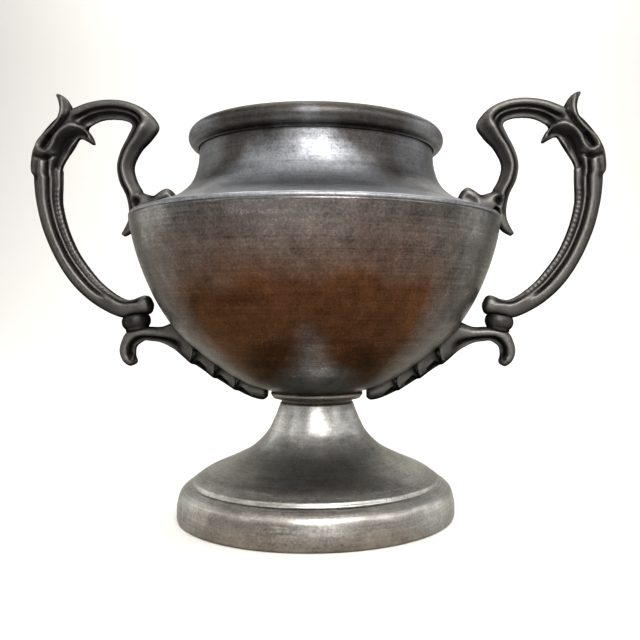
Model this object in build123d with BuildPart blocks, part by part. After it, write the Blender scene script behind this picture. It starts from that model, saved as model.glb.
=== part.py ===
"""Two-handled cup trophy in pewter, drawn as the pieces that a silversmith would lay on the bench.

A spun bowl and a spun neck meet in a lapped, soldered seam at the shoulder. A turned collar traps a flat-headed
stud under the bowl, and a washer and nut inside the stem pull the spun foot up against the collar. Each handle is
two castings, an arm and a bracket, that meet at a band over a dowel pin.

Millimetres, +Z up, origin on the cup's axis at the surface that it stands on. The handles lie along X.
"""

from build123d import *
from math import atan2, cos, hypot, sin
import os

# ---- Driving dimensions -------------------------------------------------------------------------------------
WALL = 1.2  # spun sheet of the bowl and the neck
FOOT_WALL = 1.3  # spun sheet of the foot

FOOT_RADIUS = 50.5  # outermost wall of the foot
STEP_HEIGHT = 12.7  # height of the step between the foot's rim and its flare
STEP_RADIUS = 45.4  # radius of that step
HEM = 4.5  # width of the turned-in edge that the cup stands on
STEM_RADIUS = 13.6  # top of the stem
STEM_TOP = 41.2  # height of the joint between the stem and the collar

COLLAR_RADIUS = 16.9  # widest part of the collar
COLLAR_NECK = 13.0  # its narrowest part, against the stem
BOWL_BASE = 45.2  # height of the bowl's flat bottom
BOWL_RADIUS = 67.1  # widest part of the bowl, at the shoulder
SEAM_HEIGHT = 106.9  # height of the bowl's top edge
LAP = 4.2  # how far the neck's skirt reaches down inside the bowl
SKIRT_RADIUS = 65.0  # lower end of the skirt, just clear of the bowl's wall

NECK_RADIUS = 42.5  # narrowest part of the neck
CURL_RADIUS = 3.9  # half the height of the rolled rim
CUP_HEIGHT = 140.2  # top of the rolled rim
CURL_SLIT = 0.3  # gap between the roll's edge and the neck

BAND_X, BAND_Z = 67.6, 70.2  # centre of the band at the knuckle
BAND_LEAN = 10.0  # degrees that the band's axis leans outwards
BAND_HEIGHT = 4.8
BAND_RADIUS = 5.1
SEAT_RADIUS = 8.0  # the castings are faced flat within this radius of the band's axis
DOWEL_RADIUS = 1.5
DOWEL_REACH = 3.6  # how far the dowel enters each casting
SCROLL_PIT_X, SCROLL_PIT_Z = 99.7, 137.8  # middle of the slot-shaped hollow in the arm's scroll
SCROLL_PIT_LENGTH = 5.0  # between the centres of the slot's ends
SCROLL_PIT_WIDTH = 3.4
SCROLL_PIT_TURN = -57.0  # degrees that the slot leans, seen from the front
SCROLL_PIT_FLOOR = 3.6  # distance from the middle plane to its floor
FORK_PIT_X, FORK_PIT_Z = 67.4, 114.6  # middle of the three-cornered hollow at the fork
FORK_PIT_RADIUS = 2.0
FORK_PIT_FLOOR = 2.6  # distance from the middle plane to its floor
BEYOND = 8.0  # starts a cut clear of the casting's side

STUD_RADIUS = 3.0
STUD_LENGTH = 12.0  # from under the head to the tip
STUD_HEAD_RADIUS = 7.0
STUD_HEAD_HEIGHT = 1.5
STUD_CLEARANCE = 0.2  # radial, in the collar and the foot
WASHER_RADIUS = 9.0
WASHER_HEIGHT = 1.2
NUT_ACROSS_FLATS = 10.0
NUT_HEIGHT = 5.0

# ---- Profiles, as (radius, height) --------------------------------------------------------------------------
BOWL_CURVE = [
    (COLLAR_RADIUS, BOWL_BASE),
    (25.3, 48.0),
    (33.2, 52.6),
    (42.2, 59.4),
    (50.3, 66.9),
    (56.8, 76.3),
    (61.6, 86.5),
    (65.1, 97.0),
    (BOWL_RADIUS, SEAM_HEIGHT),
]
NECK_CURVE = [
    (66.0, 108.4),
    (58.8, 110.9),
    (51.4, 114.1),
    (45.8, 119.2),
    (43.2, 125.6),
    (NECK_RADIUS, 132.3),
]
FLARE_CURVE = [
    (44.4, 13.9),
    (40.0, 16.8),
    (31.1, 20.7),
    (23.8, 24.6),
    (18.3, 30.0),
    (15.4, 35.6),
    (STEM_RADIUS, STEM_TOP - 1.0),
]

# ---- Castings: sections as (one edge), (other edge), width along Y; the edges are (x, z) --------------------
# The arm, from the lip over the knuckle, up the outside, over the top, through the S to the flick at the side
# of the bowl.
ARM = [
    ((61.2, 74.8), (61.4, 78.2), 6.4),
    ((63.1, 71.0), (63.7, 80.4), 8.6),
    ((66.8, 70.4), (67.2, 79.7), 9.2),
    ((71.0, 70.4), (71.0, 79.4), 9.2),
    ((77.4, 73.6), (75.4, 81.0), 9.0),
    ((84.6, 78.4), (80.6, 85.3), 8.8),
    ((91.3, 85.0), (85.5, 91.2), 8.8),
    ((97.0, 93.8), (89.4, 97.2), 8.8),
    ((101.6, 104.4), (92.9, 105.5), 8.8),
    ((104.0, 114.0), (94.9, 114.0), 8.8),
    ((105.2, 122.0), (94.9, 121.0), 9.0),
    ((106.3, 128.8), (94.6, 126.4), 9.6),
    ((105.2, 134.8), (92.6, 131.8), 9.6),
    ((101.2, 140.8), (89.6, 136.6), 9.2),
    ((96.2, 146.0), (86.6, 141.0), 8.8),
    ((90.4, 149.2), (83.6, 143.2), 8.6),
    ((84.0, 151.6), (80.0, 144.9), 8.4),
    ((76.4, 152.6), (75.4, 145.4), 8.2),
    ((69.2, 151.6), (71.0, 144.8), 8.2),
    ((62.6, 148.2), (69.0, 143.6), 8.6),
    ((58.7, 142.8), (68.8, 142.0), 8.8),
    ((61.2, 138.2), (70.6, 138.4), 8.4),
    ((65.2, 133.8), (73.0, 133.6), 7.8),
    ((67.9, 128.0), (74.3, 128.2), 7.4),
    ((66.8, 122.6), (73.4, 122.4), 7.4),
    ((64.6, 118.4), (71.0, 117.4), 7.4),
    ((63.4, 113.0), (69.8, 112.4), 7.0),
    ((64.6, 107.6), (69.8, 108.4), 6.4),
    ((67.6, 103.4), (71.2, 105.4), 5.4),
    ((71.3, 101.9), (72.6, 103.2), 3.0),
]
# The branch that lies on the shoulder, from the fork to its scrolled tip.
BRANCH = [
    ((69.0, 119.6), (68.6, 112.6), 6.4),
    ((63.2, 117.8), (63.2, 108.6), 7.4),
    ((60.4, 117.2), (60.4, 109.2), 7.8),
    ((57.8, 118.7), (57.6, 110.2), 8.2),
    ((55.3, 119.8), (55.0, 111.0), 8.0),
    ((53.2, 118.4), (52.9, 112.0), 6.6),
    ((52.0, 116.2), (51.9, 113.2), 4.0),
]
# The thumb leaf that stands up from the top of the arm.
THUMB_LEAF = [
    ((88.5, 143.2), (99.6, 140.6), 8.0),
    ((90.2, 148.2), (97.0, 144.6), 7.4),
    ((91.3, 150.4), (95.7, 148.6), 6.2),
    ((92.8, 152.9), (95.9, 151.2), 5.0),
    ((94.8, 154.6), (96.5, 153.2), 3.6),
    ((96.9, 155.4), (97.5, 154.7), 2.0),
]
# The hooked leaf that turns down into the finger space.
HOOK_LEAF = [
    ((97.0, 142.0), (98.6, 133.0), 8.6),
    ((91.0, 144.0), (93.0, 136.4), 9.8),
    ((86.8, 142.8), (88.4, 138.2), 8.6),
    ((84.0, 139.8), (85.6, 137.2), 6.0),
    ((82.4, 136.4), (83.6, 136.0), 2.6),
]
# The bracket, from the tip of its curl over the top and down the underside of the bowl as a leaf with three
# collars.
BRACKET = [
    ((67.5, 54.7), (67.0, 55.8), 5.0),
    ((69.4, 54.3), (67.7, 56.4), 6.6),
    ((71.7, 56.0), (68.2, 57.5), 8.0),
    ((72.9, 59.4), (68.2, 59.2), 8.6),
    ((72.6, 62.9), (67.4, 61.2), 8.8),
    ((70.9, 66.9), (65.8, 62.8), 8.8),
    ((66.9, 69.3), (63.9, 63.7), 8.8),
    ((62.6, 69.6), (61.4, 63.6), 8.6),
    ((57.2, 68.7), (57.6, 62.6), 8.4),
    ((51.6, 70.6), (53.0, 60.2), 8.8),
    ((46.4, 66.8), (49.2, 57.0), 9.6),
    ((43.6, 64.4), (46.4, 54.4), 11.2),
    ((41.0, 61.8), (43.6, 52.4), 9.0),
    ((37.6, 59.2), (40.2, 50.4), 9.6),
    ((34.8, 57.0), (37.2, 48.7), 11.0),
    ((32.4, 55.2), (34.4, 47.4), 8.4),
    ((29.4, 53.2), (31.2, 45.5), 9.0),
    ((26.8, 51.6), (28.4, 44.2), 10.0),
    ((24.6, 50.4), (26.0, 43.5), 7.6),
    ((22.0, 49.0), (22.8, 42.3), 8.0),
    ((19.6, 47.8), (20.0, 41.8), 7.4),
    ((18.2, 46.8), (18.2, 42.6), 5.0),
]


def inset(curve, distance):
    """The curve moved sideways by distance, to the left of the way it runs."""
    moved = []
    for i, (r, z) in enumerate(curve):
        before, after = curve[max(i - 1, 0)], curve[min(i + 1, len(curve) - 1)]
        angle = atan2(after[1] - before[1], after[0] - before[0])
        moved.append((r - distance * sin(angle), z + distance * cos(angle)))
    return moved


def limb(sections):
    """Lofts rounded sections, each set between its two edges; call it inside a BuildPart block."""
    profiles = []
    for (x1, z1), (x2, z2), width in sections:
        span = hypot(x2 - x1, z2 - z1)
        across = Vector(x2 - x1, 0, z2 - z1)
        middle = Vector((x1 + x2) / 2, 0, (z1 + z2) / 2)
        along = across.cross(Vector(0, 1, 0))
        with BuildSketch(Plane(middle, x_dir=across, z_dir=along)) as profile:
            RectangleRounded(span, width, 0.42 * min(span, width))
        profiles.append(profile.sketch)
    loft(profiles)


def pit_plane(side):
    """A sketch plane beside the castings, on the side given as 1 or -1."""
    return Plane.XZ.offset(side * BEYOND)


def write(part, name):
    """Labels a finished piece and writes its STEP file."""
    part.label = name
    export_step(part, f"parts/{name}.step")


os.makedirs("parts", exist_ok=True)

# ---- Bowl: one spun shell, closed at the bottom -------------------------------------------------------------
bowl_inside = inset(BOWL_CURVE, WALL)
bowl_inside[0] = (COLLAR_RADIUS, BOWL_BASE + WALL)
bowl_inside[-1] = (BOWL_RADIUS - WALL, SEAM_HEIGHT)
with BuildPart() as bowl_shell:
    with BuildSketch(Plane.YZ):
        with BuildLine():
            Line((0, BOWL_BASE), BOWL_CURVE[0])
            Spline(*BOWL_CURVE)
            Line(BOWL_CURVE[-1], bowl_inside[-1])
            Spline(*reversed(bowl_inside))
            Line(bowl_inside[0], (0, bowl_inside[0][1]))
            Line((0, bowl_inside[0][1]), (0, BOWL_BASE))
        make_face()
    revolve(axis=Axis.Z)
write(bowl_shell.part, "bowl_shell")

# ---- Neck: one spun shell, from the skirt inside the bowl to the rolled rim ---------------------------------
skirt_bottom = SEAM_HEIGHT - LAP
seam_inside = BOWL_RADIUS - WALL
curl_height = CUP_HEIGHT - CURL_RADIUS
curl_hollow = CURL_RADIUS - WALL
curl_end = NECK_RADIUS + CURL_SLIT
lip_inside = NECK_RADIUS - WALL
neck_inside = inset(NECK_CURVE, WALL)
neck_inside[-1] = (lip_inside, NECK_CURVE[-1][1])
with BuildPart() as neck_shell:
    with BuildSketch(Plane.YZ):
        with BuildLine():
            # skirt, seam and the crisp corner of the shoulder
            Polyline(
                (SKIRT_RADIUS - WALL, skirt_bottom),
                (SKIRT_RADIUS, skirt_bottom),
                (seam_inside, SEAM_HEIGHT),
                (BOWL_RADIUS, SEAM_HEIGHT),
                (BOWL_RADIUS, SEAM_HEIGHT + 0.3),
            )
            ThreePointArc((BOWL_RADIUS, SEAM_HEIGHT + 0.3), (66.75, 108.0), NECK_CURVE[0])
            Spline(*NECK_CURVE)
            # wall behind the roll, the roll's hollow, its open edge and its outside
            Line(NECK_CURVE[-1], (NECK_RADIUS, curl_height + curl_hollow))
            ThreePointArc(
                (NECK_RADIUS, curl_height + curl_hollow),
                (NECK_RADIUS + curl_hollow, curl_height),
                (curl_end, curl_height - curl_hollow),
            )
            Line((curl_end, curl_height - curl_hollow), (curl_end, curl_height - CURL_RADIUS))
            ThreePointArc(
                (curl_end, curl_height - CURL_RADIUS),
                (NECK_RADIUS + CURL_RADIUS, curl_height),
                (NECK_RADIUS, CUP_HEIGHT),
            )
            # rounded lip and the inside of the neck
            ThreePointArc(
                (NECK_RADIUS, CUP_HEIGHT),
                (lip_inside + 0.3, CUP_HEIGHT - 0.4),
                (lip_inside, CUP_HEIGHT - 1.4),
            )
            Line((lip_inside, CUP_HEIGHT - 1.4), neck_inside[-1])
            Spline(*reversed(neck_inside))
            Line(neck_inside[0], (SKIRT_RADIUS - WALL, skirt_bottom))
        make_face()
    revolve(axis=Axis.Z)
write(neck_shell.part, "neck_shell")

# ---- Collar: turned ring between bowl and stem, with a pocket for the stud's head ---------------------------
hole_radius = STUD_RADIUS + STUD_CLEARANCE
with BuildPart() as collar:
    with BuildSketch(Plane.YZ):
        with BuildLine():
            Line((hole_radius, BOWL_BASE), (COLLAR_RADIUS - 0.3, BOWL_BASE))
            ThreePointArc(
                (COLLAR_RADIUS - 0.3, BOWL_BASE),
                (COLLAR_RADIUS, BOWL_BASE - 0.8),
                (COLLAR_RADIUS - 0.9, BOWL_BASE - 2.0),
            )
            ThreePointArc(
                (COLLAR_RADIUS - 0.9, BOWL_BASE - 2.0),
                (COLLAR_RADIUS - 2.3, BOWL_BASE - 2.7),
                (COLLAR_NECK + 0.4, BOWL_BASE - 2.9),
            )
            Polyline(
                (COLLAR_NECK + 0.4, BOWL_BASE - 2.9),
                (COLLAR_NECK, BOWL_BASE - 3.3),
                (COLLAR_NECK, STEM_TOP),
                (hole_radius, STEM_TOP),
                (hole_radius, BOWL_BASE),
            )
        make_face()
    revolve(axis=Axis.Z)
    with Locations((0, 0, BOWL_BASE)):
        Cylinder(
            STUD_HEAD_RADIUS + STUD_CLEARANCE,
            STUD_HEAD_HEIGHT,
            align=(Align.CENTER, Align.CENTER, Align.MAX),
            mode=Mode.SUBTRACT,
        )
write(collar.part, "collar")

# ---- Foot: one spun shell, open underneath, with its bottom edge turned in ----------------------------------
flare_inside = inset(FLARE_CURVE, FOOT_WALL)
inner_wall = FOOT_RADIUS - FOOT_WALL
hem_inside = FOOT_RADIUS - HEM
plate_underside = STEM_TOP - FOOT_WALL
with BuildPart() as foot_shell:
    with BuildSketch(Plane.YZ):
        with BuildLine():
            # turned-in hem, outer wall and the rounded rim
            Line((hem_inside, 0), (FOOT_RADIUS - 1.4, 0))
            ThreePointArc((FOOT_RADIUS - 1.4, 0), (FOOT_RADIUS - 0.35, 0.5), (FOOT_RADIUS, 1.8))
            Line((FOOT_RADIUS, 1.8), (FOOT_RADIUS, 5.2))
            ThreePointArc(
                (FOOT_RADIUS, 5.2), (FOOT_RADIUS - 1.3, 9.8), (STEP_RADIUS, STEP_HEIGHT)
            )
            # the step and the flare up to the stem
            Polyline(
                (STEP_RADIUS, STEP_HEIGHT),
                (STEP_RADIUS - 0.8, STEP_HEIGHT),
                FLARE_CURVE[0],
            )
            Spline(*FLARE_CURVE)
            ThreePointArc(
                FLARE_CURVE[-1], (STEM_RADIUS - 0.3, STEM_TOP - 0.3), (STEM_RADIUS - 1.0, STEM_TOP)
            )
            # closed top with a hole for the stud, then back down the inside
            Polyline(
                (STEM_RADIUS - 1.0, STEM_TOP),
                (hole_radius, STEM_TOP),
                (hole_radius, plate_underside),
                (STEM_RADIUS - 1.8, plate_underside),
                flare_inside[-1],
            )
            Spline(*reversed(flare_inside))
            Line(flare_inside[0], (STEP_RADIUS - 0.4, STEP_HEIGHT - FOOT_WALL))
            ThreePointArc(
                (STEP_RADIUS - 0.4, STEP_HEIGHT - FOOT_WALL), (inner_wall - 1.25, 9.1), (inner_wall, 5.2)
            )
            Polyline((inner_wall, 5.2), (inner_wall, FOOT_WALL), (hem_inside, FOOT_WALL), (hem_inside, 0))
        make_face()
    revolve(axis=Axis.Z)
write(foot_shell.part, "foot_shell")

# ---- Fixing: headed stud, washer and nut that pull the foot against the collar ------------------------------
stud_shoulder = BOWL_BASE - STUD_HEAD_HEIGHT
with BuildPart() as foot_stud:
    with Locations((0, 0, stud_shoulder)):
        Cylinder(
            STUD_HEAD_RADIUS,
            STUD_HEAD_HEIGHT,
            align=(Align.CENTER, Align.CENTER, Align.MIN),
        )
        Cylinder(STUD_RADIUS, STUD_LENGTH, align=(Align.CENTER, Align.CENTER, Align.MAX))
    chamfer(foot_stud.edges().group_by(Axis.Z)[0], 0.6)
write(foot_stud.part, "foot_stud")

with BuildPart() as foot_washer:
    with BuildSketch(Plane.XY.offset(plate_underside)):
        Circle(WASHER_RADIUS)
        Circle(STUD_RADIUS + STUD_CLEARANCE, mode=Mode.SUBTRACT)
    extrude(amount=-WASHER_HEIGHT)
write(foot_washer.part, "foot_washer")

with BuildPart() as foot_nut:
    with BuildSketch(Plane.XY.offset(plate_underside - WASHER_HEIGHT)):
        RegularPolygon(NUT_ACROSS_FLATS / 2, 6, major_radius=False)
        Circle(STUD_RADIUS, mode=Mode.SUBTRACT)
    extrude(amount=-NUT_HEIGHT)
write(foot_nut.part, "foot_nut")

# ---- Outside of bowl and neck as one solid, to fit the castings against -------------------------------------
with BuildPart() as cup_outside:
    with BuildSketch(Plane.YZ):
        with BuildLine():
            Line((0, BOWL_BASE), BOWL_CURVE[0])
            Spline(*BOWL_CURVE)
            Line((BOWL_RADIUS, SEAM_HEIGHT), (BOWL_RADIUS, SEAM_HEIGHT + 0.3))
            ThreePointArc((BOWL_RADIUS, SEAM_HEIGHT + 0.3), (66.75, 108.0), NECK_CURVE[0])
            Spline(*NECK_CURVE)
            Polyline(NECK_CURVE[-1], (0, NECK_CURVE[-1][1]), (0, BOWL_BASE))
        make_face()
    revolve(axis=Axis.Z)

# ---- Handles: arm, band, bracket and dowel, mirrored for the other side -------------------------------------
band_axis = Vector(0, 0, 1).rotate(Axis.Y, BAND_LEAN)
band_middle = Vector(BAND_X, 0, BAND_Z)
band_top = Plane(band_middle + band_axis * (BAND_HEIGHT / 2), z_dir=band_axis)
band_bottom = Plane(band_middle - band_axis * (BAND_HEIGHT / 2), z_dir=band_axis)

with BuildPart() as knuckle_dowel:
    with BuildSketch(band_top.offset(DOWEL_REACH)):
        Circle(DOWEL_RADIUS)
    extrude(amount=-(BAND_HEIGHT + 2 * DOWEL_REACH))

with BuildPart() as handle_arm:
    limb(ARM)
    limb(BRANCH)
    limb(THUMB_LEAF)
    limb(HOOK_LEAF)
    for side in (1, -1):
        with BuildSketch(pit_plane(side)):
            with Locations((SCROLL_PIT_X, SCROLL_PIT_Z)):
                SlotCenterToCenter(SCROLL_PIT_LENGTH, SCROLL_PIT_WIDTH, rotation=SCROLL_PIT_TURN)
        extrude(amount=side * (SCROLL_PIT_FLOOR - BEYOND), mode=Mode.SUBTRACT)
        with BuildSketch(pit_plane(side)):
            with Locations((FORK_PIT_X, FORK_PIT_Z)):
                RegularPolygon(FORK_PIT_RADIUS, 3, rotation=90)
        extrude(amount=side * (FORK_PIT_FLOOR - BEYOND), mode=Mode.SUBTRACT)
    add(cup_outside.part, mode=Mode.SUBTRACT)
    with BuildSketch(band_top):
        Circle(SEAT_RADIUS)
    extrude(amount=-BAND_HEIGHT, mode=Mode.SUBTRACT)
    add(knuckle_dowel.part, mode=Mode.SUBTRACT)

with BuildPart() as handle_bracket:
    limb(BRACKET)
    add(cup_outside.part, mode=Mode.SUBTRACT)
    with BuildSketch(band_bottom):
        Circle(SEAT_RADIUS)
    extrude(amount=BAND_HEIGHT, mode=Mode.SUBTRACT)
    add(knuckle_dowel.part, mode=Mode.SUBTRACT)

with BuildPart() as knuckle_band:
    with BuildSketch(band_bottom):
        Circle(BAND_RADIUS)
    extrude(amount=BAND_HEIGHT)
    fillet(knuckle_band.edges(), 0.9)
    add(knuckle_dowel.part, mode=Mode.SUBTRACT)

for piece, name in (
    (handle_arm, "handle_arm"),
    (handle_bracket, "handle_bracket"),
    (knuckle_band, "knuckle_band"),
    (knuckle_dowel, "knuckle_dowel"),
):
    write(piece.part, f"right_{name}")
    write(mirror(piece.part, about=Plane.YZ), f"left_{name}")
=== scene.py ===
"""The looks of a two-handled pewter cup trophy: spun body and foot, turned collar, cast scroll handles."""

from math import cos, pi, radians, sin

import bmesh
import bpy
import numpy as np
from mathutils import Matrix, Vector


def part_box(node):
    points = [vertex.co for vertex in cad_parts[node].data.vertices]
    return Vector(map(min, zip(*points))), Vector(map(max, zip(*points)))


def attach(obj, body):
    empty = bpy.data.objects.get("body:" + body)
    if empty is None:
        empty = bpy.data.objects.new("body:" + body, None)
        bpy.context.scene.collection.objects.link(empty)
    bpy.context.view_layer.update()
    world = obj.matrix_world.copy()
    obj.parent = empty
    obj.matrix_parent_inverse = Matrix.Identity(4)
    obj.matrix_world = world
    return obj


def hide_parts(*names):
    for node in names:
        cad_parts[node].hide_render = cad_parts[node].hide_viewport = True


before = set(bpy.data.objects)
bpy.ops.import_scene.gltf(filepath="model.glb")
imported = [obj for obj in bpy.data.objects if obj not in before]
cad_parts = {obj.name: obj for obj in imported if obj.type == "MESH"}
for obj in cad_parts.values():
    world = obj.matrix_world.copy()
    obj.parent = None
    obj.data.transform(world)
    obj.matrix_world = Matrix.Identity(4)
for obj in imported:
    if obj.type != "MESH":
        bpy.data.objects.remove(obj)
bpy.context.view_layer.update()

# ---- Table, backdrop, lights and camera ----------------------------------------------------------
# The cup stands on a sheet of pale matt paper that curves up behind it. Soft boxes light it from above and
# from both sides, and tall narrow ones round the front give turned metal its upright streaks of light.


def linear(hex_colour):
    """An sRGB hex value, such as "#8a8782", as a linear colour."""
    channels = [int(hex_colour[i : i + 2], 16) / 255 for i in (1, 3, 5)]
    return [c / 12.92 if c <= 0.04045 else ((c + 0.055) / 1.055) ** 2.4 for c in channels] + [1.0]


def new_material(name):
    """An empty node material, with its shader and its tree."""
    material = bpy.data.materials.new(name)
    material.use_nodes = True
    return material, material.node_tree.nodes["Principled BSDF"], material.node_tree


def piece_from(bm, name, material):
    """Turns a finished bmesh into an object at the origin, smooth shaded."""
    mesh = bpy.data.meshes.new(name)
    bm.to_mesh(mesh)
    bm.free()
    mesh.shade_smooth()
    mesh.materials.append(material)
    made = bpy.data.objects.new(name, mesh)
    bpy.context.scene.collection.objects.link(made)
    return made


def around(azimuth, height, distance):
    """A point round the cup: degrees from the front towards the right handle, then two lengths in metres."""
    turn = radians(azimuth)
    return Vector((distance * sin(turn), -distance * cos(turn), height))


sheet_width, sheet_front, sheet_back, sheet_height, sheet_bend = 6.0, -2.6, 1.8, 2.4, 0.8
bend_steps = 24
sheet_line = [(sheet_front, 0), (sheet_back - sheet_bend, 0)]
for i in range(1, bend_steps + 1):
    turn = pi / 2 * i / bend_steps
    sheet_line.append((sheet_back - sheet_bend * (1 - sin(turn)), sheet_bend * (1 - cos(turn))))
sheet_line.append((sheet_back, sheet_height))
bm = bmesh.new()
edge = [bm.verts.new((-sheet_width / 2, y, z)) for y, z in sheet_line]
strip = [bm.edges.new(pair) for pair in zip(edge, edge[1:])]
grown = bmesh.ops.extrude_edge_only(bm, edges=strip)
moved = [v for v in grown["geom"] if isinstance(v, bmesh.types.BMVert)]
bmesh.ops.translate(bm, verts=moved, vec=(sheet_width, 0, 0))
bmesh.ops.recalc_face_normals(bm, faces=bm.faces)
paper, paper_shader, tree = new_material("matt_paper")
paper_shader.inputs["Base Color"].default_value = linear("#bdbbb7")
paper_shader.inputs["Roughness"].default_value = 0.9
paper_shader.inputs["Specular IOR Level"].default_value = 0.1
piece_from(bm, "paper_sheet", paper)

world = bpy.data.worlds.new("studio")
world.use_nodes = True
world.node_tree.nodes["Background"].inputs["Color"].default_value = linear("#e9ebf0")
world.node_tree.nodes["Background"].inputs["Strength"].default_value = 0.09
bpy.context.scene.world = world
bpy.context.scene.view_settings.view_transform = "Standard"

cup_middle = Vector((0, 0, 0.09))
backdrop_middle = Vector((0, sheet_back, 0.45))
floor_in_front = around(15, 0, 0.36)
# Name, azimuth, height, distance, width, length, watts, target. floor_glow lights the paper in front of the
# cup, which the bowl's underside mirrors.
for name, azimuth, height, distance, width, length, watts, target in (
    ("front_box", 6, 0.90, 0.85, 0.40, 0.65, 7.5, cup_middle),
    ("overhead_box", 180, 1.35, 0.25, 1.30, 1.30, 22.0, cup_middle),
    ("left_box", -110, 0.30, 0.90, 0.70, 0.70, 4.6, cup_middle),
    ("right_box", 110, 0.30, 0.90, 0.50, 0.70, 3.2, cup_middle),
    ("front_strip", 14, 0.50, 0.95, 0.12, 0.95, 4.2, cup_middle),
    ("floor_glow", 8, 0.32, 0.40, 0.18, 0.34, 3.4, floor_in_front),
    ("right_strip", 65, 0.62, 0.95, 0.22, 0.90, 5.0, cup_middle),
    ("left_strip", -60, 0.62, 0.95, 0.22, 0.90, 3.5, cup_middle),
    ("backdrop_left", 210, 1.50, 0.90, 0.80, 0.60, 22.0, backdrop_middle),
    ("backdrop_right", 150, 1.50, 0.90, 0.80, 0.60, 22.0, backdrop_middle),
):
    light = bpy.data.lights.new(name, "AREA")
    light.shape = "RECTANGLE"
    light.size, light.size_y = width, length
    light.energy = watts
    lamp = bpy.data.objects.new(name, light)
    lamp.location = around(azimuth, height, distance)
    lamp.rotation_euler = (target - lamp.location).to_track_quat("-Z", "Y").to_euler()
    bpy.context.scene.collection.objects.link(lamp)

camera_azimuth, camera_distance, camera_height = 4.0, 0.284, 0.0731
camera_turn = 3.0  # degrees between the camera's view and the cup's axis
camera_data = bpy.data.cameras.new("camera")
camera_data.sensor_width = 36.0
camera_data.lens = 43.1
camera_data.shift_x = -0.058
camera_data.shift_y = -0.0086
camera_data.clip_start = 0.01
camera = bpy.data.objects.new("camera", camera_data)
camera.location = around(camera_azimuth, camera_height, camera_distance)
camera.rotation_euler = (pi / 2, 0, radians(camera_azimuth - camera_turn))
bpy.context.scene.collection.objects.link(camera)
bpy.context.scene.camera = camera

# ---- Bowl ----------------------------------------------------------------------------------------
# Pewter sheet spun over a former into a deep round bowl with a flat bottom, so its skin carries fine rings
# from the spinning tool. It has dulled with age: dark patches, pinholes, rubbed places and stray scratches.
# Its tones are darker than the neck's and the foot's, painted shade for the dark surroundings it mirrors, and
# a brown tint low on its front and back is a painted reflection of a brown table.

MM = 0.001  # in metres
ROUND = 256  # facets round the axis of a spun piece


def node(tree, kind, inputs=(), output=0, **settings):
    """Adds a shader node, sets its properties, sets or links its inputs, and returns one of its outputs."""
    made = tree.nodes.new("ShaderNode" + kind)
    for name, value in settings.items():
        setattr(made, name, value)
    for key, value in inputs.items() if isinstance(inputs, dict) else enumerate(inputs):
        if isinstance(value, bpy.types.NodeSocket):
            tree.links.new(value, made.inputs[key])
        else:
            made.inputs[key].default_value = value
    return made.outputs[output]


def through(points, steps=10):
    """A smooth line through the points, as more points."""
    line = []
    last = len(points) - 1
    for i in range(last):
        p0, p1, p2, p3 = (Vector(points[min(max(j, 0), last)]) for j in (i - 1, i, i + 1, i + 2))
        if i == 0:
            p0 = 2 * p1 - p2
        if i == last - 1:
            p3 = 2 * p2 - p1
        for k in range(steps):
            t = k / steps
            a = 2 * p1 + (p2 - p0) * t + (2 * p0 - 5 * p1 + 4 * p2 - p3) * t * t
            line.append((a + (3 * p1 - p0 - 3 * p2 + p3) * t * t * t) / 2)
    return line + [Vector(points[-1])]


def arc(centre, radius, start, end, steps):
    """Points on an arc in the profile plane, angles in degrees from +r towards +z."""
    angles = [radians(start + (end - start) * i / steps) for i in range(steps + 1)]
    return [Vector((centre[0] + radius * cos(a), centre[1] + radius * sin(a))) for a in angles]


def offset(line, distance):
    """The line moved sideways by distance, to the left of the way it runs."""
    moved = []
    for i, point in enumerate(line):
        way = (line[min(i + 1, len(line) - 1)] - line[max(i - 1, 0)]).normalized()
        moved.append(point + distance * Vector((-way.y, way.x)))
    return moved


def lathe(profile, name, material, closed=True, about=Matrix.Identity(4)):
    """Spins a profile of (radius, height) in millimetres round the Z axis, then places it by the matrix."""
    bm = bmesh.new()
    verts = [bm.verts.new((r * MM, 0, z * MM)) for r, z in profile]
    edges = [bm.edges.new(pair) for pair in zip(verts, verts[1:])]
    if closed:
        edges.append(bm.edges.new((verts[-1], verts[0])))
    bmesh.ops.spin(
        bm, geom=verts + edges, cent=(0, 0, 0), axis=(0, 0, 1), angle=2 * pi, steps=ROUND, use_merge=True
    )
    bmesh.ops.remove_doubles(bm, verts=bm.verts, dist=1e-7)
    bmesh.ops.recalc_face_normals(bm, faces=bm.faces)
    bmesh.ops.transform(bm, matrix=about, verts=bm.verts)
    return piece_from(bm, name, material)


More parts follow.
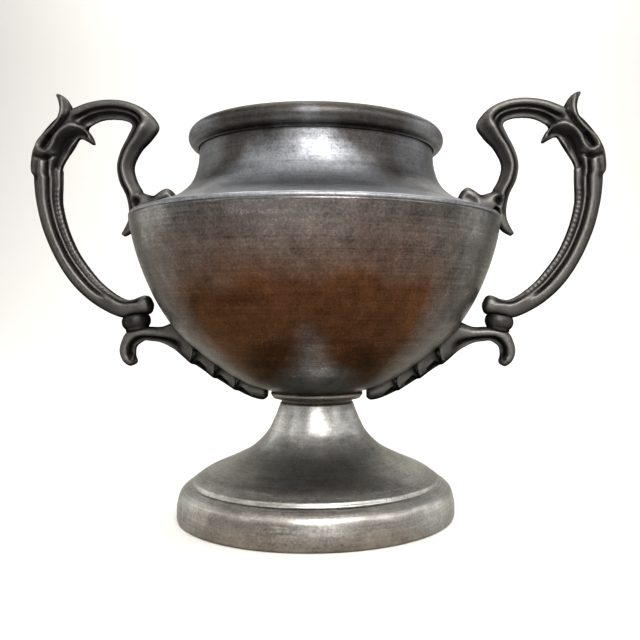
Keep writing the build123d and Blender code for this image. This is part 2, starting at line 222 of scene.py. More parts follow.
def spun_pewter(name, light, dark, gloss, painted_tint="#ffffff", tint_low=0, tint_high=1):
    """Spun pewter, a soft grey tin alloy: satin, ringed by the tool, mottled, pinholed and rubbed by age.

    The colours are hex values. The last colour is painted light: a tint on the front and back between two
    heights in millimetres, which the bowl and the foot use as a painted reflection of a brown table and the
    neck as painted shade on its rolled rim.
    """
    material, shader, tree = new_material(name)
    place = node(tree, "TexCoord", output="Object")
    height = node(tree, "SeparateXYZ", (place,), "Z")
    flat = node(tree, "VectorMath", (place, (1, 1, 0)), operation="MULTIPLY")
    radius = node(tree, "VectorMath", (flat,), "Value", operation="LENGTH")
    spoke = node(tree, "VectorMath", (flat,), operation="NORMALIZE")
    sizes = {"patches": 17, "blotches": 4.2, "grain": 0.8, "drift": 30, "holes": 0.75, "holes_here": 24}
    cloud = {}
    for key, size in sizes.items():
        settings = {"Vector": place, "Scale": 1 / (size * MM), "Detail": 4.0, "Roughness": 0.6}
        cloud[key] = node(tree, "TexNoise", settings)
    # tool rings 0.6 mm apart, coarser than the real ones so that they show, and broad ones behind them
    rings = {}
    for key, spacing, wander in (("fine", 0.6, 1.6), ("broad", 3.6, 0.8)):
        out = node(tree, "Math", (radius, 1 / (spacing * MM)), operation="MULTIPLY")
        up = node(tree, "Math", (height, 1 / (spacing * MM)), operation="MULTIPLY")
        round_it = node(tree, "VectorMath", {0: spoke, "Scale": wander}, operation="SCALE")
        where = node(tree, "CombineXYZ", (0.0, 0.0, out))
        where = node(tree, "VectorMath", (round_it, where), operation="ADD")
        settings = {"Vector": where, "W": up, "Scale": 1.0, "Detail": 2.0}
        rings[key] = node(tree, "TexNoise", settings, noise_dimensions="4D")

    tone = node(tree, "MapRange", (cloud["patches"], 0.32, 0.68, 0.20, 0.44))
    for source, low, high in (
        (cloud["blotches"], -0.05, 0.12),
        (cloud["grain"], -0.12, 0.20),
        (rings["broad"], -0.04, 0.05),
        (rings["fine"], -0.08, 0.10),
    ):
        change = node(tree, "MapRange", (source, 0.32, 0.68, low, high))
        tone = node(tree, "Math", (tone, change), operation="ADD")
    colour = node(tree, "Mix", {0: tone, 6: linear(dark), 7: linear(light)}, 2, data_type="RGBA")

    # the painted tint, which is painted light, has ragged edges, leaves a wedge clear at the bottom and fades
    # towards the handles
    millimetres = node(tree, "Math", (height, 1 / MM), operation="MULTIPLY")
    wander = node(tree, "MapRange", (cloud["drift"], 0.3, 0.7, -6.0, 6.0))
    edge = node(tree, "Math", (millimetres, wander), operation="ADD")
    sideways = node(tree, "VectorMath", (spoke,), operation="ABSOLUTE")
    sideways = node(tree, "SeparateXYZ", (sideways,), "X")
    lifted = node(tree, "Math", (sideways, 34.0, edge), operation="MULTIPLY_ADD")
    rising = node(tree, "MapRange", (lifted, tint_low - 5, tint_low + 8, 0.0, 0.95))
    falling = node(tree, "MapRange", (edge, tint_high + 12, tint_high - 22))
    painted_tint_share = node(tree, "Math", (rising, falling), operation="MULTIPLY")
    fading = node(tree, "MapRange", (sideways, 0.62, 0.84, 1.0, 0.15))
    painted_tint_share = node(tree, "Math", (painted_tint_share, fading), operation="MULTIPLY")
    mixed = {0: painted_tint_share, 6: colour, 7: linear(painted_tint)}
    colour = node(tree, "Mix", mixed, 2, data_type="RGBA", blend_type="MULTIPLY")

    # pinholes and specks under a millimetre across, in some places only
    specks = node(tree, "MapRange", (cloud["holes"], 0.36, 0.30))
    where = node(tree, "MapRange", (cloud["holes_here"], 0.40, 0.60))
    pits = node(tree, "Math", (specks, where), operation="MULTIPLY")
    shade = node(tree, "Math", (pits, 0.8), operation="MULTIPLY")
    colour = node(tree, "Mix", {0: shade, 6: colour, 7: linear("#1d1b19")}, 2, data_type="RGBA")
    tree.links.new(colour, shader.inputs["Base Color"])

    rough = node(tree, "MapRange", (tone, 0.0, 1.0, gloss + 0.10, gloss - 0.03))
    rough = node(tree, "Math", {0: pits, 1: 0.3, 2: rough}, operation="MULTIPLY_ADD")
    tree.links.new(rough, shader.inputs["Roughness"])

    # stray scratches: the thin zero lines of two stretched noises
    relief = node(tree, "Math", (rings["fine"], 0.6), operation="MULTIPLY")
    relief = node(tree, "Math", (cloud["grain"], 0.5, relief), operation="MULTIPLY_ADD")
    relief = node(tree, "Math", (pits, -0.9, relief), operation="MULTIPLY_ADD")
    for size, stretch in ((9, (1, 1, 26)), (11, (22, 3, 1))):
        pulled = node(tree, "Mapping", {"Vector": place, "Scale": stretch})
        lines = node(tree, "TexNoise", {"Vector": pulled, "Scale": 1 / (size * MM), "Detail": 2.0})
        away = node(tree, "Math", (lines, 0.5), operation="SUBTRACT")
        away = node(tree, "Math", (away,), operation="ABSOLUTE")
        scratch = node(tree, "MapRange", (away, 0.0, 0.008, -0.8, 0.0))
        relief = node(tree, "Math", (relief, scratch), operation="ADD")
    bump = node(tree, "Bump", {"Strength": 0.5, "Distance": 0.06 * MM, "Height": relief})
    tree.links.new(bump, shader.inputs["Normal"])
    tree.links.new(node(tree, "Tangent", direction_type="RADIAL", axis="Z"), shader.inputs["Tangent"])
    shader.inputs["Metallic"].default_value = 1.0
    shader.inputs["Anisotropic"].default_value = 0.4
    shader.inputs["Specular Tint"].default_value = linear("#c8c6c0")
    return material


wall = 1.2
bowl_low, bowl_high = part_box("bowl_shell")
bowl_radius, bowl_base, seam = bowl_high.x / MM, bowl_low.z / MM, bowl_high.z / MM
collar_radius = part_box("collar")[1].x / MM
bowl_line = through(
    [
        (collar_radius, bowl_base),
        (25.3, 48.0),
        (33.2, 52.6),
        (42.2, 59.4),
        (50.3, 66.9),
        (56.8, 76.3),
        (61.6, 86.5),
        (65.1, 97.0),
        (bowl_radius, seam),
    ]
)
bowl_inner = offset(bowl_line, wall)
bowl_inner[-1] = Vector((bowl_radius - wall, seam))
bowl_inner[0] = Vector((collar_radius, bowl_base + wall))
flat_radii = (0, 3, 7, 12)  # rings that keep the flat bottom's facets short
bowl_profile = [Vector((r, bowl_base)) for r in flat_radii] + bowl_line
bowl_profile += bowl_inner[::-1] + [Vector((r, bowl_base + wall)) for r in flat_radii[::-1]]
# tones darker than the neck's and foot's: painted shade; the last colour is a painted reflection of a brown
# table
bowl_pewter = spun_pewter("spun_pewter_bowl", "#7e7e7d", "#282726", 0.25, "#b87440", 62, 102)
bowl = lathe(bowl_profile, "bowl", bowl_pewter, closed=False)
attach(bowl, "root")
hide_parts("bowl_shell")

# ---- Neck and rolled rim -------------------------------------------------------------------------
# A second spinning in the same pewter. Its skirt laps inside the bowl and is soldered at the crisp shoulder,
# it sweeps in to the neck, and the mouth is stiffened by rolling the sheet outwards into a bead.

cup_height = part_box("neck_shell")[1].z / MM
neck_radius, curl_radius, curl_slit = 42.5, 3.9, 0.3
lap, skirt_radius, corner_radius = 4.2, 65.0, 1.2
neck_line = through(
    [(66.0, 108.4), (58.8, 110.9), (51.4, 114.1), (45.8, 119.2), (43.2, 125.6), (neck_radius, 132.3)]
)
neck_inner = offset(neck_line, wall)
neck_inner[-1] = Vector((neck_radius - wall, neck_line[-1].y))
curl_height = cup_height - curl_radius
curl_hollow = curl_radius - wall
curl = (neck_radius, curl_height)
shoulder_corner = arc((bowl_radius - corner_radius, seam + 0.35), corner_radius, 0, 68, 6)
neck_profile = [
    Vector((skirt_radius - wall, seam - lap)),
    Vector((skirt_radius, seam - lap)),
    Vector((bowl_radius - wall, seam)),
    Vector((bowl_radius, seam)),
    *shoulder_corner,
    *neck_line,
    *arc(curl, curl_hollow, 90, -90, 14),
    *arc((neck_radius + curl_slit, curl_height), curl_radius, -90, -80, 2),
    *arc(curl, curl_radius, -76, 90, 24),
    *arc((neck_radius, cup_height - wall), wall, 100, 180, 6),
    *neck_inner[::-1],
]
# the last colour darkens the rolled rim on its front and back: painted shade
neck_pewter = spun_pewter("spun_pewter_neck", "#98999c", "#434446", 0.37, "#7b736b", 134, 170)
neck = lathe(neck_profile, "neck", neck_pewter)
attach(neck, "root")
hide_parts("neck_shell")

# ---- Collar --------------------------------------------------------------------------------------
# A small turned ring between bowl and stem, bored for the stud that holds the foot on. Its tones are darker
# and warmer than the foot's.

stem_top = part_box("foot_shell")[1].z / MM
collar_bottom, collar_neck, flange_rounding, cove_radius = 13.0, 13.4, 1.0, 2.1
stud_hole, stud_pocket, pocket_depth = 3.2, 7.2, 1.5
collar_profile = [
    Vector((stud_hole, bowl_base - pocket_depth)),
    Vector((stud_pocket, bowl_base - pocket_depth)),
    Vector((stud_pocket, bowl_base)),
    Vector((collar_radius - 0.4, bowl_base)),
    *arc((collar_radius - flange_rounding, bowl_base - flange_rounding), flange_rounding, 70, -60, 10),
    *arc((collar_neck + 1.6, bowl_base - 4.4), cove_radius, 60, 120, 8),
    Vector((collar_bottom, bowl_base - 3.2)),
    Vector((collar_bottom, stem_top)),
    Vector((stud_hole, stem_top)),
]
collar_pewter = spun_pewter("turned_pewter_collar", "#8f897f", "#4c4842", 0.34)
collar = lathe(collar_profile, "collar_ring", collar_pewter)
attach(collar, "root")
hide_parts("collar")

# ---- Foot ----------------------------------------------------------------------------------------
# The foot is one spinning: a slender stem that flares to a stepped edge and a rounded rim, hollow underneath,
# with its bottom edge turned in to stand on. It has the lightest tones of the spun pieces, and low on its
# front and back a brown tint is a painted reflection of a brown table.

foot_wall, hem, foot_radius, foot_corner = 1.3, 4.5, 50.5, 1.4
step_height, step_radius, stem_radius, stem_corner = 12.7, 45.4, 13.6, 1.0
flare_line = through(
    [
        (44.4, 13.9),
        (40.0, 16.8),
        (31.1, 20.7),
        (23.8, 24.6),
        (18.3, 30.0),
        (15.4, 35.6),
        (stem_radius, stem_top - stem_corner),
    ]
)
flare_inner = offset(flare_line, foot_wall)
rim_bulge = through([(foot_radius, 5.2), (foot_radius - 1.3, 9.8), (step_radius + 0.5, step_height)], 8)
foot_profile = [
    Vector((foot_radius - hem, 0)),
    Vector((foot_radius - 3.0, 0)),
    *arc((foot_radius - foot_corner, foot_corner), foot_corner, -90, 0, 6),
    Vector((foot_radius, 3.2)),
    *rim_bulge,
    Vector((step_radius, step_height - 0.25)),
    Vector((step_radius - 0.6, step_height - 0.1)),
    Vector((step_radius - 0.75, step_height + 0.5)),
    *flare_line,
    *arc((stem_radius - stem_corner, stem_top - stem_corner), stem_corner, 25, 90, 4),
    Vector((stud_hole, stem_top)),
    Vector((stud_hole, stem_top - foot_wall)),
    Vector((stem_radius - 1.8, stem_top - foot_wall)),
    *flare_inner[::-1],
    Vector((step_radius - 0.4, step_height - foot_wall)),
    *[Vector((p.x - foot_wall, min(p.y, step_height - 1.9))) for p in rim_bulge[::-1][4:]],
    Vector((foot_radius - foot_wall, foot_wall)),
    Vector((foot_radius - hem, foot_wall)),
]
# the last colour, low on the front and back, is a painted reflection of a brown table
foot_pewter = spun_pewter("spun_pewter_foot", "#b6b5b0", "#5c5a56", 0.31, "#b08a66", -20, 6)
foot = lathe(foot_profile, "foot", foot_pewter)
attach(foot, "root")
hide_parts("foot_shell")

# ---- Stud, washer and nut inside the stem --------------------------------------------------------
# Plain steel fixings, dull and a little brown where the air under the foot has got at them.

fixing_steel, shader, tree = new_material("dull_steel_fixings")
place = node(tree, "TexCoord", output="Object")
rust = node(tree, "TexNoise", {"Vector": place, "Scale": 1 / (2.4 * MM), "Detail": 5.0})
rusty = node(tree, "MapRange", (rust, 0.5, 0.68))
steel = node(tree, "Mix", {0: rusty, 6: linear("#8b8d8f"), 7: linear("#6a4a35")}, 2, data_type="RGBA")
tree.links.new(steel, shader.inputs["Base Color"])
tree.links.new(node(tree, "MapRange", (rust, 0.0, 1.0, 0.3, 0.6)), shader.inputs["Roughness"])
shader.inputs["Metallic"].default_value = 1.0
fixings = ["foot_stud", "foot_washer", "foot_nut"]
fixings += [f"{side}_knuckle_dowel" for side in ("right", "left")]
for name in fixings:
    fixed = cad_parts[name]
    fixed.data.materials.clear()
    fixed.data.materials.append(fixing_steel)

# ---- Handle arms ---------------------------------------------------------------------------------
# Each arm is one casting: a broad rib, a groove, a thin rib and a beaded shelf on the finger side, a scroll
# with a thumb leaf and a hooked leaf, and a fork whose one branch is soldered to the shoulder.


def outline(*points):
    """Half of a limb's section: how far from first edge to second, and how much of the half width."""
    return [number for point in points for number in point]


half_circle = [pi * i / 20 for i in range(21)]
PLAIN = outline(*[(0.5 - 0.5 * cos(a), sin(a) ** 0.8) for a in half_circle])
SLAB = outline(*[(0.5 - 0.5 * cos(a), sin(a) ** 0.5) for a in half_circle])
# broad rib, deep groove, thin rib, and a shelf for the beads
FLUTED = outline(
    (0, 0), (0, 0.22), (0.03, 0.45), (0.09, 0.66), (0.18, 0.84), (0.29, 0.96), (0.40, 1.0), (0.49, 0.95),
    (0.55, 0.78), (0.58, 0.52), (0.61, 0.52), (0.635, 0.72), (0.68, 0.80), (0.73, 0.78), (0.77, 0.62),
    (0.80, 0.48), (0.90, 0.46), (0.98, 0.44), (1.0, 0.34), (0.96, 0.2), (0.95, 0),
)  # fmt: skip
# broad rib on top, deep channel, thin rib, deeper channel
ARCHED = outline(
    (0, 0), (0, 0.3), (0.02, 0.55), (0.07, 0.78), (0.14, 0.93), (0.22, 1.0), (0.31, 0.99), (0.39, 0.90),
    (0.44, 0.70), (0.47, 0.48), (0.50, 0.44), (0.535, 0.56), (0.58, 0.62), (0.625, 0.54), (0.66, 0.30),
    (0.74, 0.22), (0.84, 0.22), (0.92, 0.22), (1.0, 0.18), (0.98, 0.1), (0.97, 0),
)  # fmt: skip
# one ridge nearer the finger side, with a hollow slope on each side of it
ROOF = outline(
    (0, 0), (0, 0.2), (0.03, 0.38), (0.09, 0.50), (0.17, 0.60), (0.27, 0.70), (0.37, 0.81), (0.46, 0.92),
    (0.53, 0.99), (0.58, 1.0), (0.63, 0.95), (0.67, 0.84), (0.71, 0.68), (0.75, 0.54), (0.80, 0.44),
    (0.85, 0.38), (0.90, 0.35), (0.95, 0.32), (1.0, 0.26), (0.99, 0.13), (0.98, 0),
)  # fmt: skip
# full and round outside, with a trough along the finger side
TROUGH = outline(
    (0, 0), (0, 0.25), (0.03, 0.48), (0.09, 0.66), (0.17, 0.78), (0.26, 0.87), (0.36, 0.93), (0.46, 0.96),
    (0.56, 0.98), (0.65, 1.0), (0.71, 0.98), (0.745, 0.90), (0.77, 0.76), (0.79, 0.62), (0.82, 0.54),
    (0.87, 0.48), (0.93, 0.46), (0.98, 0.42), (1.0, 0.34), (0.97, 0.2), (0.96, 0),
)  # fmt: skip

# Sections as first edge, second edge, width, outline: edges are (x, z) on the right side, in millimetres.
ARM = [
    ((61.0, 75.8), (61.2, 77.6), 5.0, PLAIN),
    ((61.7, 73.6), (62.5, 79.9), 8.0, PLAIN),
    ((64.0, 72.8), (64.6, 80.1), 9.0, PLAIN),
    ((67.4, 72.3), (67.8, 78.8), 9.4, TROUGH),
    ((71.6, 71.8), (71.2, 78.8), 9.4, TROUGH),
    ((77.4, 73.9), (75.4, 81.0), 9.0, TROUGH),
    ((84.6, 78.4), (80.6, 85.3), 8.8, FLUTED),
    ((91.3, 85.0), (85.5, 91.2), 8.8, FLUTED),
    ((97.0, 93.8), (89.4, 97.2), 8.8, FLUTED),
    ((101.6, 104.4), (92.9, 105.5), 8.8, FLUTED),
    ((104.0, 114.0), (94.9, 114.0), 8.8, FLUTED),
    ((104.9, 121.0), (94.9, 120.0), 8.8, FLUTED),
    ((105.1, 124.4), (94.8, 122.6), 9.0, FLUTED),
    ((106.1, 126.0), (94.8, 124.0), 9.2, FLUTED),
    ((106.2, 129.6), (94.6, 127.4), 9.2, FLUTED),
    ((105.0, 134.8), (92.6, 131.8), 8.4, SLAB),
    ((101.2, 140.8), (89.6, 136.6), 8.4, SLAB),
    ((96.2, 146.0), (86.6, 141.0), 8.2, SLAB),
    ((90.4, 149.2), (83.6, 143.2), 8.4, ARCHED),
    ((84.0, 151.6), (80.0, 144.9), 8.4, ARCHED),
    ((76.4, 152.6), (75.4, 145.4), 8.2, ARCHED),
    ((69.2, 151.6), (71.0, 144.8), 8.2, ARCHED),
    ((62.6, 148.2), (69.0, 143.6), 8.6, ARCHED),
    ((58.7, 142.8), (68.8, 142.0), 8.8, ROOF),
    ((61.2, 138.2), (70.6, 138.4), 8.4, ROOF),
    ((65.2, 133.8), (73.0, 133.6), 7.8, ROOF),
    ((67.9, 128.0), (74.3, 128.2), 7.6, ROOF),
    ((66.8, 122.6), (73.4, 122.4), 7.6, ROOF),
    ((64.6, 118.4), (71.0, 117.4), 7.6, ROOF),
    ((63.8, 113.0), (69.9, 112.4), 6.8, ROOF),
    ((65.4, 107.6), (70.0, 108.4), 5.6, PLAIN),
    ((68.2, 103.8), (71.4, 105.2), 4.4, PLAIN),
    ((71.4, 101.9), (72.8, 103.0), 2.4, PLAIN),
]
BEADED = slice(5, 12)  # the sections that carry beads
BRANCH = [
    ((69.0, 119.6), (68.6, 112.6), 6.4, PLAIN),
    ((63.2, 117.8), (63.2, 108.6), 7.4, PLAIN),
    ((60.4, 117.2), (60.4, 109.2), 7.8, PLAIN),
    ((57.8, 118.7), (57.6, 110.2), 8.2, SLAB),
    ((55.3, 119.8), (55.0, 111.0), 8.0, SLAB),
    ((53.2, 118.4), (52.9, 112.0), 6.6, PLAIN),
    ((52.0, 116.2), (51.9, 113.2), 4.0, PLAIN),
]
THUMB_LEAF = [
    ((88.5, 143.2), (99.6, 140.6), 8.0, SLAB),
    ((90.2, 148.2), (97.0, 144.6), 7.2, PLAIN),
    ((91.3, 150.4), (95.7, 148.6), 6.0, PLAIN),
    ((92.8, 152.9), (95.9, 151.2), 4.8, PLAIN),
    ((94.8, 154.6), (96.5, 153.2), 3.4, PLAIN),
    ((96.6, 155.3), (97.3, 154.6), 1.8, PLAIN),
]
HOOK_LEAF = [
    ((97.0, 142.0), (98.6, 133.0), 8.4, SLAB),
    ((91.0, 144.0), (93.0, 136.6), 9.4, SLAB),
    ((86.8, 142.8), (88.4, 138.4), 8.6, PLAIN),
    ((84.0, 139.8), (85.6, 137.4), 6.0, PLAIN),
    ((82.4, 136.3), (83.4, 136.0), 1.8, PLAIN),
]


def pairs(numbers):
    """The numbers taken two at a time."""
    return list(zip(tuple(numbers)[::2], tuple(numbers)[1::2]))


def stations(sections, steps):
    """The sections with smooth steps between them: the two edges as points, the width and the outline."""
    rows = through([(*a, *b, width, *shape) for a, b, width, shape in sections], steps)
    return [(Vector((r[0], 0, r[1])), Vector((r[2], 0, r[3])), r[4], pairs(r[5:])) for r in rows]


def limb(bm, sections):
    """Adds a closed limb: an outline at every station, bridged to the one before, with capped ends."""
    last = None
    for first_edge, second_edge, width, half in stations(sections, 6):
        whole = half + [(u, -v) for u, v in half[-2:0:-1]]
        places = [first_edge.lerp(second_edge, u) + Vector((0, v * width / 2, 0)) for u, v in whole]
        ring = [bm.verts.new(place * MM) for place in places]
        edges = [bm.edges.new(pair) for pair in zip(ring, ring[1:] + ring[:1])]
        if last:
            bmesh.ops.bridge_loops(bm, edges=last + edges)
        else:
            bmesh.ops.contextual_create(bm, geom=edges)
        last = edges
    bmesh.ops.contextual_create(bm, geom=last)


def fuse(bm, voxel):
    """The bmesh's overlapping closed shapes as one skin, voxel in millimetres."""
    bmesh.ops.recalc_face_normals(bm, faces=bm.faces)
    mesh = bpy.data.meshes.new("limbs")
    bm.to_mesh(mesh)
    bm.free()
    rough = bpy.data.objects.new("limbs", mesh)
    bpy.context.scene.collection.objects.link(rough)
    remesh = rough.modifiers.new("fuse", "REMESH")
    remesh.mode = "VOXEL"
    remesh.voxel_size = voxel * MM
    view = bpy.context.evaluated_depsgraph_get()
    fused = bpy.data.meshes.new_from_object(rough.evaluated_get(view))
    bpy.data.objects.remove(rough)
    out = bmesh.new()
    out.from_mesh(fused)
    bpy.data.meshes.remove(fused)
    out.normal_update()
    return out


least_web = 1.3  # metal that tooling leaves on each side of the middle plane


def press(bm, line, reach, depth):
    """Tools a line of (x, z) points into both side faces, as deep as depth in millimetres along its middle.

    A negative depth raises it.
    """
    bm.verts.ensure_lookup_table()
    skin = np.array([(v.co.x, v.co.z, abs(v.normal.y)) for v in bm.verts]) / (MM, MM, 1)
    gap = np.full(len(skin), np.inf)
    for a, b in zip(line, line[1:]):
        start, run = np.array(a), np.array(b - a)
        share = np.clip((skin[:, :2] - start) @ run / (run @ run), 0, 1)
        gap = np.minimum(gap, np.linalg.norm(skin[:, :2] - start - share[:, None] * run, axis=1))
    fall = 0.5 + 0.5 * np.cos(pi * np.minimum(gap / reach, 1))
    sink = depth * MM * fall * np.minimum(1, 1.6 * skin[:, 2])
    for i in np.flatnonzero(gap < reach):
        v = bm.verts[i]
        side, half = (1 if v.co.y > 0 else -1), abs(v.co.y)
        v.co.y = side * max(half - sink[i], min(half, least_web * MM))


def even_out(bm, rounds):
    """Softens the skin as casting and polishing do."""
    for _ in range(rounds):
        bmesh.ops.smooth_vert(
            bm, verts=bm.verts, factor=0.5, use_axis_x=True, use_axis_y=True, use_axis_z=True
        )
    bm.normal_update()


def mirrored(bm):
    """A copy of the bmesh for the left side, facing outwards."""
    other = bm.copy()
    bmesh.ops.scale(other, vec=(-1, 1, 1), verts=other.verts)
    bmesh.ops.reverse_faces(other, faces=other.faces)
    return other


def mark_hollows(bm):
    """Stores how far, in millimetres, each vertex lies below its smoothed surroundings; the handle material
    darkens hollows by it, for dirt and painted shade, and lightens ridges, for wear and a painted highlight.
    """
    count = len(bm.verts)
    here = np.array([v.co for v in bm.verts])
    normals = np.array([v.normal for v in bm.verts])
    ends = np.array([(e.verts[0].index, e.verts[1].index) for e in bm.edges])
    degree = np.bincount(ends.ravel(), minlength=count)[:, None]
    smooth = here.copy()
    for _ in range(60):
        total = np.zeros_like(smooth)
        for axis in range(3):
            total[:, axis] = np.bincount(ends[:, 0], smooth[ends[:, 1], axis], count)
            total[:, axis] += np.bincount(ends[:, 1], smooth[ends[:, 0], axis], count)
        smooth = total / degree
    layer = bm.verts.layers.float.new("hollow")
    for v, depth in zip(bm.verts, ((smooth - here) * normals).sum(1) / MM):
        v[layer] = depth


def cast_pewter(name):
    """Cast pewter darkened to gunmetal. Ridges are lighter, wear from hands and painted highlight; hollows are
    near black, dirt and painted shade; faces turned downwards are darker, painted shade.
    """
    material, shader, tree = new_material(name)
    place = node(tree, "TexCoord", output="Object")
    hollow = node(tree, "Attribute", output="Fac", attribute_name="hollow")
    patches = node(tree, "TexNoise", {"Vector": place, "Scale": 1 / (8 * MM), "Detail": 4.0})
    grain = node(tree, "TexNoise", {"Vector": place, "Scale": 1 / (0.9 * MM), "Detail": 3.0})
    even = node(tree, "MapRange", (patches, 0.3, 0.7))
    tone = node(tree, "Mix", {0: even, 6: linear("#2a2928"), 7: linear("#3f3d3b")}, 2, data_type="RGBA")
    # lighter ridges: wear where hands rub, and a painted highlight
    ridge_wear_and_highlight = node(tree, "MapRange", (hollow, -0.04, -0.40, 0.0, 0.6))
    patchy = node(tree, "MapRange", (grain, 0.3, 0.6, 0.5, 1.0))
    ridge_wear_and_highlight = node(tree, "Math", (ridge_wear_and_highlight, patchy), operation="MULTIPLY")
    tone = node(tree, "Mix", {0: ridge_wear_and_highlight, 6: tone, 7: linear("#6b6864")}, 2, data_type="RGBA")
    # near black in the hollows: dirt, and painted shade
    grime_and_shade = node(tree, "MapRange", (hollow, 0.03, 0.30, 0.0, 0.92))
    facing = node(tree, "NewGeometry", output="Normal")
    facing = node(tree, "SeparateXYZ", (facing,), "Z")
    # darker where the face turns downwards: painted shade
    underside_shade = node(tree, "MapRange", (facing, -0.15, -0.80, 0.0, 0.78))
    grime_and_shade = node(tree, "Math", (grime_and_shade, underside_shade), operation="MAXIMUM")
    tone = node(tree, "Mix", {0: grime_and_shade, 6: tone, 7: linear("#0f0e0d")}, 2, data_type="RGBA")
    tree.links.new(tone, shader.inputs["Base Color"])
    rough = node(tree, "MapRange", (grain, 0.3, 0.7, 0.42, 0.56))
    duller = node(tree, "MapRange", (hollow, 0.0, 0.3, 0.0, 0.15))
    rough = node(tree, "Math", (rough, duller), operation="ADD")
    tree.links.new(rough, shader.inputs["Roughness"])
    bump = node(tree, "Bump", {"Strength": 0.4, "Distance": 0.08 * MM, "Height": grain})
    tree.links.new(bump, shader.inputs["Normal"])
    shader.inputs["Metallic"].default_value = 1.0
    shader.inputs["Specular Tint"].default_value = linear("#5a5856")
    return material


handle_pewter = cast_pewter("cast_pewter_handles")
bm = bmesh.new()
for sections in (ARM, BRANCH, THUMB_LEAF, HOOK_LEAF):
    limb(bm, sections)
bead_pitch, bead_radius = 1.75, 0.62
bead_way = 0.89  # how far the beads are from first edge to second
bead_out = 0.207  # how far they are out from the middle plane, as a share of the width
travelled = 0.0
before = None
for first_edge, second_edge, width, half in stations(ARM[BEADED], 40):
    here = first_edge.lerp(second_edge, bead_way)
    travelled += (here - before).length if before else 0.0
    before = here
    if travelled >= bead_pitch:
        travelled -= bead_pitch
        for side in (1, -1):
            seat = Matrix.Translation((here + Vector((0, side * bead_out * width, 0))) * MM)
            bmesh.ops.create_uvsphere(bm, u_segments=10, v_segments=6, radius=bead_radius * MM, matrix=seat)
skin_size = 0.3  # how fine the fused skin is, in millimetres
arm = fuse(bm, skin_size)
even_out(arm, 1)
scroll_rib = [
    (94.6, 153.6), (93.8, 149.7), (94.5, 145.5), (96.6, 142.4), (99.7, 139.6), (102.3, 137.2),
    (103.0, 134.8), (101.2, 133.1), (99.0, 133.0), (97.0, 135.2), (95.8, 138.2), (93.6, 140.9),
    (90.6, 142.7), (87.5, 142.4), (85.0, 141.0), (82.4, 137.0),
]  # fmt: skip
# what is tooled into the casting: where, how far to each side and how deep, in millimetres
tooling = {
    "hollow inside the hooked leaf": ([(86.3, 139.4), (90.6, 138.6), (93.6, 134.8), (94.8, 129.0)], 3.1, 2.6),
    "scroll's pit": ([(91.5, 147.0), (94.4, 143.2), (97.8, 138.8), (100.4, 135.6)], 1.45, 0.9),
    "pit's round end": ([(98.2, 138.6), (100.6, 135.3)], 1.2, 1.3),
    "groove above the knuckle": ([(96.6, 131.6), (100.4, 130.7), (104.4, 132.0)], 1.0, 0.9),
    "flat on the knuckle": ([(102.6, 129.2), (103.2, 126.0), (103.4, 123.0)], 1.3, 0.4),
    "raised rib round the scroll": (scroll_rib, 1.4, -1.0),
    "fork's recess": ([(66.5, 114.9), (67.0, 114.2)], 2.3, 1.5),
    "slit below the recess": ([(65.7, 111.6), (66.3, 109.6)], 1.3, 2.0),
    "dip in the branch": ([(55.2, 115.6), (57.6, 114.4)], 2.2, 0.6),
    "nick on the bend": ([(61.6, 147.0), (62.0, 147.4)], 0.7, 0.25),
}
for points, reach, depth in tooling.values():
    press(arm, through(points, 4), reach, depth)
arm = fuse(arm, skin_size)
even_out(arm, 2)
mark_hollows(arm)
for side, form in (("right", arm.copy()), ("left", mirrored(arm))):
    made = piece_from(form, f"{side}_arm", handle_pewter)
    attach(made, "root")
    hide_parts(f"{side}_handle_arm")
arm.free()

# ---- Brackets ------------------------------------------------------------------------------------
# The bracket under each arm is a second casting: a curl, a short limb to the bowl, and a leaf of lobes and
# collars that is soldered along the bowl's underside.

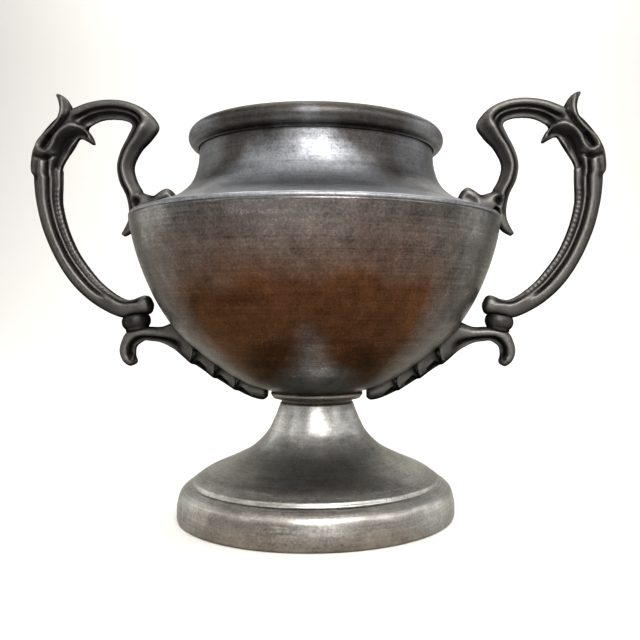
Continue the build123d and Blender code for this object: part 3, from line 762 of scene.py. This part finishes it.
# a rim along the first edge, and a sunk shelf along the second
RIMMED = outline(
    (0, 0), (0, 0.25), (0.03, 0.48), (0.09, 0.68), (0.17, 0.84), (0.26, 0.95), (0.36, 1.0), (0.46, 0.99),
    (0.55, 0.94), (0.61, 0.85), (0.66, 0.72), (0.69, 0.56), (0.72, 0.42), (0.77, 0.36), (0.83, 0.36),
    (0.88, 0.37), (0.93, 0.36), (0.97, 0.32), (1.0, 0.24), (0.98, 0.12), (0.97, 0),
)  # fmt: skip
BRACKET = [
    ((67.5, 54.7), (67.0, 55.8), 5.0, PLAIN),
    ((69.4, 54.0), (67.0, 56.4), 6.8, PLAIN),
    ((71.8, 55.9), (67.4, 57.7), 8.2, PLAIN),
    ((73.0, 59.4), (67.4, 59.4), 8.6, RIMMED),
    ((72.4, 62.9), (67.0, 61.2), 8.8, RIMMED),
    ((70.6, 66.4), (65.4, 62.6), 8.8, RIMMED),
    ((66.9, 68.0), (63.7, 63.4), 8.8, RIMMED),
    ((62.6, 68.6), (61.4, 63.2), 8.6, RIMMED),
    ((57.2, 68.7), (57.6, 62.6), 8.4, RIMMED),
    ((51.6, 70.6), (53.0, 60.2), 8.6, RIMMED),
    ((47.6, 67.6), (49.6, 57.4), 9.6, PLAIN),
    ((44.8, 65.2), (47.0, 55.2), 11.6, PLAIN),
    ((43.9, 64.5), (46.0, 54.6), 11.4, PLAIN),
    ((43.2, 64.0), (45.1, 54.4), 8.0, PLAIN),
    ((40.0, 61.2), (42.0, 52.4), 8.8, PLAIN),
    ((36.8, 58.6), (38.9, 50.1), 11.2, PLAIN),
    ((35.9, 57.8), (37.9, 49.4), 11.0, PLAIN),
    ((35.1, 57.2), (37.0, 49.3), 7.6, PLAIN),
    ((32.2, 55.0), (33.9, 47.4), 8.4, PLAIN),
    ((29.6, 53.4), (31.2, 45.7), 10.6, PLAIN),
    ((28.7, 52.8), (30.2, 45.0), 10.4, PLAIN),
    ((27.9, 52.4), (29.3, 44.9), 7.2, PLAIN),
    ((25.2, 50.8), (26.4, 43.5), 7.8, PLAIN),
    ((22.0, 49.0), (22.8, 42.1), 8.4, PLAIN),
    ((19.4, 47.8), (19.8, 41.6), 7.4, PLAIN),
    ((18.2, 46.8), (18.2, 42.6), 5.0, PLAIN),
]
bm = bmesh.new()
limb(bm, BRACKET)
bracket = fuse(bm, skin_size)
even_out(bracket, 1)
curl_groove = through([(68.6, 60.6), (67.9, 58.4), (68.2, 57.0)], 4)
press(bracket, curl_groove, 1.3, 1.0)
across, along = Vector((1.1, -1.9)), Vector((-3.6, -2.9))  # across the leaf and down along it
for middle in (Vector((45.2, 57.6)), Vector((37.1, 52.3)), Vector((29.4, 47.9))):
    ridge_of_collar = [middle - across, middle + 0.6 * across]
    hollow_of_lobe = [middle + 0.62 * along + 0.5 * across, middle + 1.2 * along + 0.6 * across]
    press(bracket, ridge_of_collar, 1.2, -0.9)
    press(bracket, hollow_of_lobe, 1.7, 1.5)
even_out(bracket, 1)
mark_hollows(bracket)
for side, form in (("right", bracket.copy()), ("left", mirrored(bracket))):
    made = piece_from(form, f"{side}_bracket", handle_pewter)
    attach(made, "root")
    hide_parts(f"{side}_handle_bracket")
bracket.free()

# ---- Knuckle bands -------------------------------------------------------------------------------
# A moulded band hides the joint where the arm is pinned to its bracket. It is cast in the same dark pewter
# and leans outwards with the arm.

band_lean, band_inset, band_bore, band_bulge = 10.0, 0.5, 1.5, 3.4
band_bottom, band_top = -3.0, 2.7
for side, sign in (("right", 1), ("left", -1)):
    low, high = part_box(f"{side}_knuckle_band")
    centre = (low + high) / 2 - Vector((band_inset * sign * MM, 0, 0))
    lean = Matrix.Translation(centre) @ Matrix.Rotation(radians(band_lean * sign), 4, "Y")
    band_profile = [
        Vector((band_bore, band_bottom)),
        Vector((4.4, band_bottom)),
        *arc((1.9, 0.4), band_bulge, -46, 40, 12),
        Vector((4.3, band_top)),
        Vector((band_bore, band_top)),
    ]
    band = lathe(band_profile, f"{side}_band", handle_pewter, about=lean)
    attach(band, "root")
    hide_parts(f"{side}_knuckle_band")
